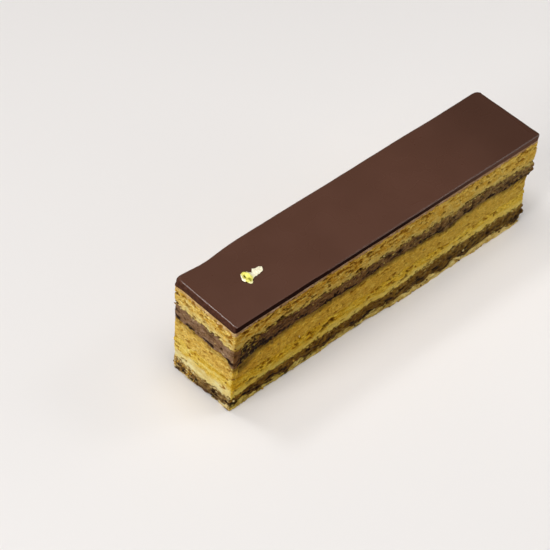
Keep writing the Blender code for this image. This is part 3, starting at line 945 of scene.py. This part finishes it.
def build_ganache(index, seed, black_fronts, black_ends, share):
    """A ganache, nearly black in ragged streaks, with a few crumbs dragged over it.

    Its black places are at a share of its height. Its ends are smoother, and the lower one's only in
    their front half.
    """
    wall = Wall(index, seed)
    spread(wall, seed, height=0.14, bubbles_per_mm2=0.3)
    wall.relief += 0.14 * Noise(seed + 1).layered(wall.points, (1.0, 1.0, 0.6), 2)
    smooth_end = FACES_END * (1.0 if index == GANACHE_UPPER else smooth_step((1.0 - RIM[:, 1]) / 3.0))
    wall.relief *= 1.0 - 0.65 * smooth_end
    corner = by_front(5.0 - HALF_X, 6.0) * (index == GANACHE_UPPER)
    low = np.exp(-wall.above_floor / 1.3)
    core = hump(wall.above_floor / (wall.above_floor + wall.below_roof), 0.45, 0.3)
    black = 0.17 + 0.28 * low + 0.45 * corner + 0.22 * core * FAR_HALF
    black = black * (1.0 - smooth_end) + 0.12 * low**2 * smooth_end
    softness = 0.22 + 0.5 * FAR_LONG
    wall.speckle("black", 0.98, black, 1.4, seed + 2, softness)
    wall.wash("black", 0.5 * corner)
    wall.speckle("crumb", 0.9, crumbed(wall) + 0.25 * corner, 0.6, seed + 3, softness + 0.08)
    draw = wall.draw

    def streak(station, z):
        half_along, half_up = draw.uniform(0.5, 2.2), draw.uniform(0.2, 0.42)
        wall.stain("black", station, z, half_along, half_up, draw.uniform(0.5, 1.0))

    def dragged(station, z):
        size = draw.uniform(0.2, 0.5)
        wall.stain("crumb", station, z, size, 0.5 * size, draw.uniform(0.4, 0.9))
        wall.bump(station, z, size, 0.6 * size, 0.12)

    wall.scatter(0.06, streak)
    for station, half in [*marks(front, black_fronts), *marks(near, black_ends)]:
        count = max(2, round(1.3 * half))
        for k in range(count):
            at = station + (2.0 * (k + 0.5) / count - 1.0) * half / STEP
            up = wall.height_at(at, share + draw.uniform(-0.06, 0.06))
            wall.stain("black", at, up, draw.uniform(0.7, 1.5), draw.uniform(0.4, 0.85))
    # Two lumps stick out at the far end's front corner.
    far_corner = front(HALF_X)
    for lump_share, height in ((0.35, 0.8), (0.8, 0.55)):
        wall.bump(far_corner, wall.height_at(far_corner, lump_share), 1.1, 0.8, height)
    wall.scatter(0.06, dragged)
    wall.scatter(0.5, dragged, (0.9, 1.0))
    finish_layer(wall, ganache_finish)


# Marks of the sponges and ganaches, by their place along the front or across the near end. The loops
# that draw them name the rest of each row.
MIDDLE_DASHES = ((-40.5, 10.6), (-24.0, 11.2), (-3.0, 11.6), (9.0, 11.0), (22.0, 11.8), (38.0, 11.2))
TOP_FRONT_DASHES = ((-45.0, 4.0, 12), (-29.0, 1.4, 5), (-17.5, 4.4, 14), (0.5, 4.4, 17), (13.0, 2.4, 8))
TOP_END_DASHES = ((-4.5, 28.5, 8), (3.2, 28.8, 5), (8.5, 27.5, 4), (-8.5, 27.8, 5))
TOP_HOLES = ((-26.0, 25.5, 0.85), (-21.0, 25.4, 0.55))
UPPER_BLACK_FRONT = (
    (-48.5, 1.5), (-43.0, 3.0), (-36.5, 3.5), (-29.5, 2.0), (-19.5, 3.0), (-13.5, 2.0), (-4.5, 1.2),
    (12.0, 2.0), (17.0, 1.0), (27.0, 1.6), (36.0, 1.5), (43.5, 2.6),
)
UPPER_BLACK_END = ((9.6, 0.7), (4.9, 0.8), (-0.8, 0.9), (-2.3, 0.5), (-8.8, 0.7))
LOWER_BLACK_FRONT = (
    (-45.0, 1.4), (-42.3, 1.2), (-38.5, 0.9), (-33.5, 1.2), (-19.0, 1.5), (-9.5, 1.2), (-5.0, 0.9),
    (2.0, 0.8), (13.0, 1.4), (19.0, 1.0), (29.0, 1.4), (38.0, 0.8), (48.5, 1.8),
)
LOWER_BLACK_END = ((9.0, 0.8), (6.0, 1.0), (2.5, 0.8), (-4.0, 0.6), (-9.0, 1.2))


GLAZE_EDGE_END, GLAZE_EDGE_LONG = 0.75, 0.30
GLAZE_WAVE = 0.05
# Rows of the glaze's cut side and of its rounded edge, and how many strips of the edge are as matt
# as the cut and take its painted shade: on the ends, and on the long faces by the near end, from
# which they die out.
CUT_ROWS, EDGE_ROWS = 6, 8
MATT_STRIPS_END, MATT_STRIPS_NEAR_END = 4, 3
MATT_FADE_START, MATT_FADE_LENGTH = -30.0, 15.0
# How far the glaze, with what is just under it, leans out at the near end's back corner, and how
# much rounder its edge is there.
GLAZE_BACK_CORNER_OUT, GLAZE_BACK_CORNER_ROUND = 0.35, 0.8


def glaze_side():
    """The grid of the glaze's side, from its cut foot over the rounded edge to the flat top."""
    back_corner = by_back_corner(2.2)
    radius = GLAZE_EDGE_LONG + (GLAZE_EDGE_END - GLAZE_EDGE_LONG) * FACES_END
    radius = radius + GLAZE_BACK_CORNER_ROUND * back_corner
    floor = JOINTS[GLAZE]
    rows = [floor + (HEIGHT - radius - floor) * k / CUT_ROWS for k in range(CUT_ROWS)]
    insets = [np.zeros(STATIONS) for _ in rows]
    for turn in np.linspace(0.0, np.pi / 2, EDGE_ROWS):
        rows.append(HEIGHT - radius * (1.0 - np.sin(turn)))
        insets.append(radius * (1.0 - np.cos(turn)))
    z = np.array(rows)
    offset = side_offset(np.minimum(z, SIDE_HEIGHTS[-1])) - np.array(insets)
    offset += GLAZE_BACK_CORNER_OUT * back_corner
    points = np.dstack([RIM + OUTWARD * offset[..., None], z])
    wave = Noise(131).layered(points, 6.0, 2)
    points[..., :2] += OUTWARD * (GLAZE_WAVE * wave)[..., None]
    return points


def build_glaze():
    """The glaze: a matt cut side, a rounded edge, and a flat glossy top."""
    side = glaze_side()
    rounded = np.arange(len(side))[:, None] > CUT_ROWS
    masks = {"end": np.tile(FACES_END, (len(side), 1)), "rim": rounded * FACES_END}
    points, masks = closed_up(side, (CAP_LEVELS[GLAZE], HEIGHT), masks)
    masks["along"] = 0.5 + points[:, 0] / (2.0 * HALF_X)
    faces = capped_faces(len(side))
    piece = make_piece("glaze_poured", points, faces, glaze_finish(), "glaze", masks)
    piece.data.materials.append(glaze_cut_shade_finish())
    # The cut side and the edge's matt strips take the cut's material, with its painted shade.
    fade = smooth_step((RIM[:, 0] - MATT_FADE_START) / MATT_FADE_LENGTH)
    matt_strips = np.round(MATT_STRIPS_NEAR_END * (1.0 - fade))
    matt_strips = CUT_ROWS + np.where(FACES_END > 0.5, MATT_STRIPS_END, matt_strips)
    for polygon in piece.data.polygons[: (len(side) - 1) * STATIONS]:
        row, station = divmod(polygon.index, STATIONS)
        polygon.material_index = int(row < matt_strips[station])


# ---- crumbs

CRUMB_COUNT = 120
CRUMB_SIZE = 0.26


def build_crumbs():
    """Crumbs that cling to the cut sides, most of them low down and by the corners."""
    draw = np.random.default_rng(171)
    noise = Noise(172)
    shape = bmesh.new()
    bmesh.ops.create_icosphere(shape, subdivisions=2, radius=1.0)
    ball = np.array([v.co for v in shape.verts])
    ball_faces = np.array([[v.index for v in face.verts] for face in shape.faces])
    shape.free()
    near_corner, far_corner = both(front(-HALF_X))
    corners = (near_corner, front(HALF_X), near(HALF_Y), far_corner)
    points, faces, kinds = [], [], []
    for number in range(CRUMB_COUNT):
        place = draw.uniform()
        if place < 0.35:
            station, z = draw.uniform(0, STATIONS), draw.uniform(0.2, 2.0)
        elif place < 0.6:
            station, z = near(draw.uniform(2.0, 10.0)), draw.uniform(0.2, 4.5)
        elif place < 0.8:
            station = corners[int(draw.integers(4))] + draw.normal(0.0, 1.5) / STEP
            z = draw.uniform(1.0, 26.0)
        else:
            station, z = draw.uniform(0, STATIONS), draw.uniform(1.0, 28.0)
        column = int(station) % STATIONS
        offset = np.interp(z, SIDE_HEIGHTS[:, column], SIDE_OFFSETS[:, column])
        sizes = CRUMB_SIZE * draw.lognormal(0.0, 0.35, 3)
        lump = ball * sizes * (1.0 + 0.35 * noise(ball * sizes + 9.0 * number, 0.22)[:, None])
        lump = lump + (*(RIM[column] + OUTWARD[column] * offset), z)
        lump[:, 2] = np.maximum(lump[:, 2], 0.02)
        faces.append(ball_faces + number * len(ball))
        points.append(lump)
        kinds.append(np.full(len(ball), draw.uniform()))
    points, faces, masks = np.vstack(points), np.vstack(faces), {"kind": np.concatenate(kinds)}
    make_piece("crumbs_clinging", points, faces, crumbs_finish(), None, masks)


# ---- gold leaf

# The outline about the middle of the flake's head, anticlockwise. Its strip runs to +X.
LEAF_OUTLINE = (
    (5.2, 0.0), (4.7, 0.6), (3.6, 0.55), (2.8, 0.9), (2.2, 0.15), (1.5, 0.5), (1.35, 1.0),
    (0.4, 1.45), (-0.5, 1.2), (-1.05, 0.4), (-1.35, -0.5), (-1.2, -1.1), (-0.8, -1.4),
    (-0.4, -2.3), (0.1, -2.5), (0.5, -2.2), (0.7, -1.7), (1.8, -1.35), (3.5, -1.25), (4.6, -1.1),
)
LEAF_HOLE, LEAF_HOLE_SIZE = (-0.07, 0.11), (0.17, 0.28)
LEAF_GRID = 0.14
LEAF_THICK = 0.05


def resampled(outline, step):
    """Points about a step apart round a closed outline."""
    outline = np.array(outline)
    points = []
    for start, end in zip(outline, np.roll(outline, -1, axis=0)):
        count = max(1, round(np.linalg.norm(end - start) / step))
        points += [start + (end - start) * k / count for k in range(count)]
    return np.array(points)


def leaf_height(plan):
    """How far the flake stands off the glaze: a curl round its head, creases and crumples."""
    flat = np.column_stack([plan, np.zeros(len(plan))])
    noise = Noise(141)
    crumple = 0.10 * noise.layered(flat, 0.9, 3, 0.6)
    crease = 0.10 * np.abs(noise(flat + 20.0, (0.7, 1.4, 1.0)))
    from_head = np.hypot(plan[:, 0], plan[:, 1] + 0.2)
    curl = 0.34 * hump(from_head, 1.1, 0.45)
    ridge = 0.08 * hump(plan[:, 1] + 0.3, 0.0, 0.5) * smooth_step((plan[:, 0] - 1.2) / 0.6)
    return np.maximum(0.10 + crumple + crease + curl + ridge, 0.02)


def from_hole(plan):
    """How far points are from the hole's middle: 1 at its rim."""
    return np.sqrt(np.sum(((plan - LEAF_HOLE) / LEAF_HOLE_SIZE) ** 2, axis=1))


def leaf_plan():
    """The flake's points and triangles in plan, with a ragged rim and a small hole in its head."""
    rim = resampled(LEAF_OUTLINE, LEAF_GRID)
    ragged = Noise(142)
    flat = np.column_stack([rim, np.zeros(len(rim))])
    rim = rim + 0.08 * np.column_stack([ragged(flat, 0.45), ragged(flat + 9.0, 0.45)])
    angles = np.linspace(0.0, 2.0 * np.pi, 15)[:-1]
    inner = np.array(LEAF_HOLE) + np.column_stack([np.cos(angles), np.sin(angles)]) * LEAF_HOLE_SIZE
    columns, rows = np.arange(-1.6, 5.6, LEAF_GRID), np.arange(-2.8, 1.8, LEAF_GRID)
    grid = np.array([(x, y) for x in columns for y in rows])
    grid = grid + np.random.default_rng(143).uniform(-0.03, 0.03, grid.shape)
    points = [Vector(p) for p in np.vstack([rim, inner, grid])]
    edges = ring(0, len(rim)) + ring(len(rim), len(inner))
    plan, _, faces, _, _, _ = delaunay_2d_cdt(points, edges, [], 1, 1e-6)
    middles = np.array([[plan[i] for i in face] for face in faces]).mean(axis=1)
    faces = [face for face, distance in zip(faces, from_hole(middles)) if distance >= 1.0]
    used = sorted({i for face in faces for i in face})
    place = {old: new for new, old in enumerate(used)}
    return np.array([plan[i] for i in used]), np.array([[place[i] for i in face] for face in faces])


def leaf_masks(top):
    """Where the flake has a painted cream highlight: its strip, -X side and foot; and painted shade: a
    crease and by the hole.
    """
    plan = top[:, :2]
    noise = Noise(144)(top, 0.8)
    cream = smooth_step((plan[:, 0] - 0.9 + 0.5 * noise) / 0.7)
    cream = np.maximum(cream, smooth_step((0.15 * plan[:, 1] - plan[:, 0] - 0.55 + 0.4 * noise) / 0.3))
    cream = np.maximum(cream, 0.6 * smooth_step((-plan[:, 1] - 1.6 + 0.4 * noise) / 0.5))
    fold_shade = hump(plan[:, 0], 0.2, 0.28) * smooth_step((-plan[:, 1] - 0.6) / 0.4) * (1.3 + 0.5 * noise)
    fold_shade = fold_shade * (1.0 - smooth_step((-plan[:, 1] - 1.7) / 0.4))
    fold_shade = np.maximum(fold_shade, 1.0 - smooth_step((from_hole(plan) - 1.0) / 1.1))
    return {"cream": np.tile(cream, 2), "fold_shade": np.tile(np.clip(fold_shade, 0.0, 1.0), 2)}


def build_leaf():
    """A crumpled flake of gold leaf that stands a little off the glaze."""
    plan, faces = leaf_plan()
    sides = np.concatenate([faces[:, [0, 1]], faces[:, [1, 2]], faces[:, [2, 0]]])
    paired = {tuple(side) for side in sides}
    border = np.array([side for side in sides if (side[1], side[0]) not in paired])
    height = leaf_height(plan)
    top = np.column_stack([plan, height + LEAF_THICK])
    bottom = np.column_stack([plan, height])
    count = len(plan)
    walls = np.column_stack([border[:, 1], border[:, 0], border[:, 0] + count, border[:, 1] + count])
    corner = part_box("gold_leaf")[0] / METRES_PER_MM
    middle = np.array([*(np.array(corner[:2]) - np.min(LEAF_OUTLINE, axis=0)), HEIGHT])
    points = np.vstack([top, bottom]) + middle
    faces = [*faces, *(faces[:, ::-1] + count), *walls]
    piece = make_piece("gold_flake", points, faces, gold_finish(), "gold_leaf", leaf_masks(top))


# ---- studio

CAMERA_PLACE = (-240.3, -197.8, 353.5)
CAMERA_YAW = np.radians(46.81)
CAMERA_DOWN = np.radians(48.51)
CAMERA_ROLL = np.radians(6.02)
CAMERA_LENS = 120.54


def make_camera():
    """Looks down on the near front corner, a little rolled."""
    data = bpy.data.cameras.new("camera")
    data.lens = CAMERA_LENS
    data.sensor_width = 36.0
    data.clip_start = 0.01
    camera = bpy.data.objects.new("camera", data)
    turn = Matrix.Rotation(-CAMERA_YAW, 4, "Z") @ Matrix.Rotation(np.pi / 2 - CAMERA_DOWN, 4, "X")
    turn = turn @ Matrix.Rotation(CAMERA_ROLL, 4, "Z")
    camera.matrix_world = Matrix.Translation(Vector(CAMERA_PLACE) * METRES_PER_MM) @ turn
    bpy.context.scene.collection.objects.link(camera)
    bpy.context.scene.camera = camera


def add_light(name, direction, distance, size, radiance):
    """A square soft light that faces the cake. radiance is how bright its face looks."""
    data = bpy.data.lights.new(name, "AREA")
    data.shape = "RECTANGLE"
    data.size, data.size_y = size
    data.energy = radiance * np.pi * size[0] * size[1]
    light = bpy.data.objects.new(name, data)
    direction = Vector(direction).normalized()
    light.location = direction * distance
    light.rotation_euler = direction.to_track_quat("Z", "Y").to_euler()
    bpy.context.scene.collection.objects.link(light)


def make_studio():
    """Softboxes overhead and off the near end, three small ones, and a pale floor."""
    scene = bpy.context.scene
    scene.view_settings.view_transform = "Standard"
    world = bpy.data.worlds.new("studio")
    world.use_nodes = True
    background = world.node_tree.nodes["Background"].inputs
    background["Color"].default_value = (1.0, 0.985, 0.97, 1.0)
    background["Strength"].default_value = 0.03
    scene.world = world
    add_light("overhead", (-0.05, -0.05, 1.0), 0.9, (0.5, 0.5), 5.8)
    add_light("key", (-0.93, 0.0, 0.37), 0.9, (0.5, 0.5), 6.7)
    add_light("edge", (-0.2, 0.42, 0.88), 0.8, (0.15, 0.12), 17.0)
    add_light("fill", (0.55, -0.33, 0.77), 0.4, (0.08, 0.08), 4.8)
    add_light("right", (0.8, -0.5, 0.33), 0.22, (0.15, 0.10), 1.9)
    mesh = bpy.data.meshes.new("floor")
    reach = 1.5
    corners = [(-reach, -reach, 0.0), (reach, -reach, 0.0), (reach, reach, 0.0), (-reach, reach, 0.0)]
    mesh.from_pydata(corners, [], [(0, 1, 2, 3)])
    floor = bpy.data.objects.new("floor", mesh)
    finish = Finish("floor")
    pale = finish.mix(finish.noise(120.0, 2.0), (0.86, 0.83, 0.81), (0.88, 0.85, 0.83))
    mesh.materials.append(finish.surfaced(pale, 0.7, specular=0.2))
    scene.collection.objects.link(floor)


def main():
    make_camera()
    make_studio()
    build_base()
    build_middle()
    build_top()
    build_lower_cream()
    build_top_cream()
    build_ganache(GANACHE_LOWER, 121, LOWER_BLACK_FRONT, LOWER_BLACK_END, 0.35)
    build_ganache(GANACHE_UPPER, 122, UPPER_BLACK_FRONT, UPPER_BLACK_END, 0.14)
    build_glaze()
    build_crumbs()
    build_leaf()
    bpy.context.view_layer.update()


main()
